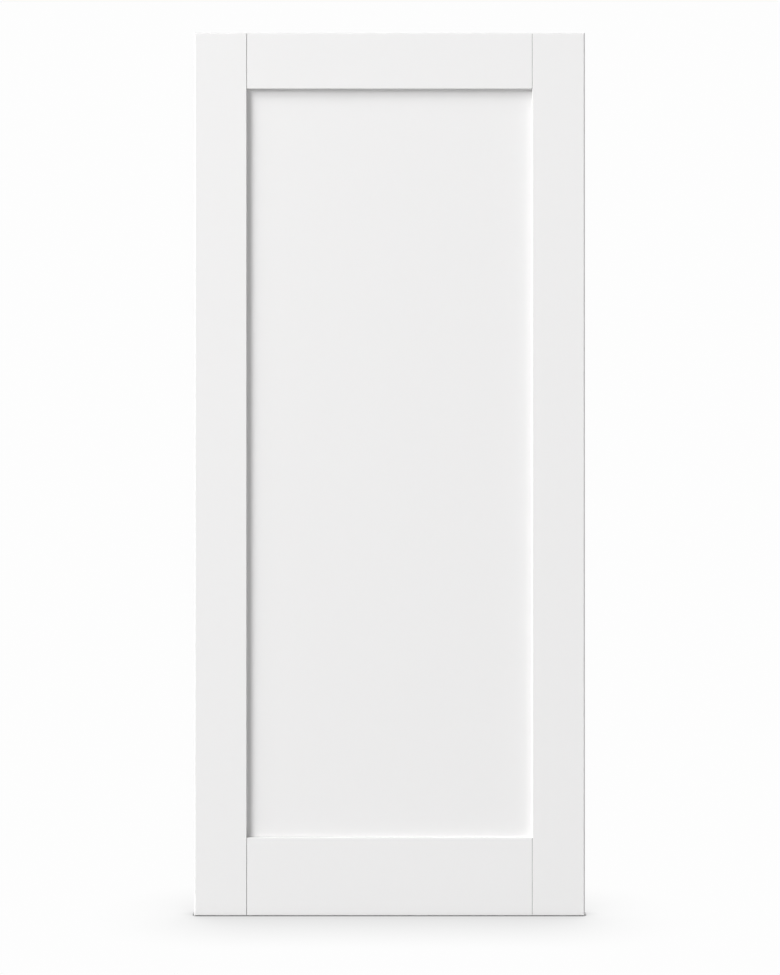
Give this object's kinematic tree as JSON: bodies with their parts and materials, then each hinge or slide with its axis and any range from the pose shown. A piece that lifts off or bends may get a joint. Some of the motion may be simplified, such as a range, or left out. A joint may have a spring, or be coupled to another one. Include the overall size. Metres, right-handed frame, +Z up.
{
  "type": "interior door leaf, one-panel shaker pattern",
  "caption": "Flat white interior door leaf: two stiles, a top rail and a taller bottom rail round one recessed flat panel, with fine joint lines; no hardware fitted.",
  "frame": {"origin": "on the flat face of the hinge edge, half-way up and half-way through the thickness", "axes": "+X across the leaf from the hinge edge to the lock edge, +Y from the front face to the back face, +Z up"},
  "size_m": [0.93, 0.035, 2.1],
  "materials": {
    "white_lacquer": "satin",
    "dowel_wood": "matte"
  },
  "bodies": {
    "root": {"hinge_stile": "white_lacquer", "lock_stile": "white_lacquer", "top_rail": "white_lacquer", "bottom_rail": "white_lacquer", "panel": "white_lacquer", "dowel_top_hinge_1": "dowel_wood", "dowel_top_hinge_2": "dowel_wood", "dowel_top_lock_1": "dowel_wood", "dowel_top_lock_2": "dowel_wood", "dowel_bottom_hinge_1": "dowel_wood", "dowel_bottom_hinge_2": "dowel_wood", "dowel_bottom_hinge_3": "dowel_wood", "dowel_bottom_lock_1": "dowel_wood", "dowel_bottom_lock_2": "dowel_wood", "dowel_bottom_lock_3": "dowel_wood"}
  },
  "joints": []
}
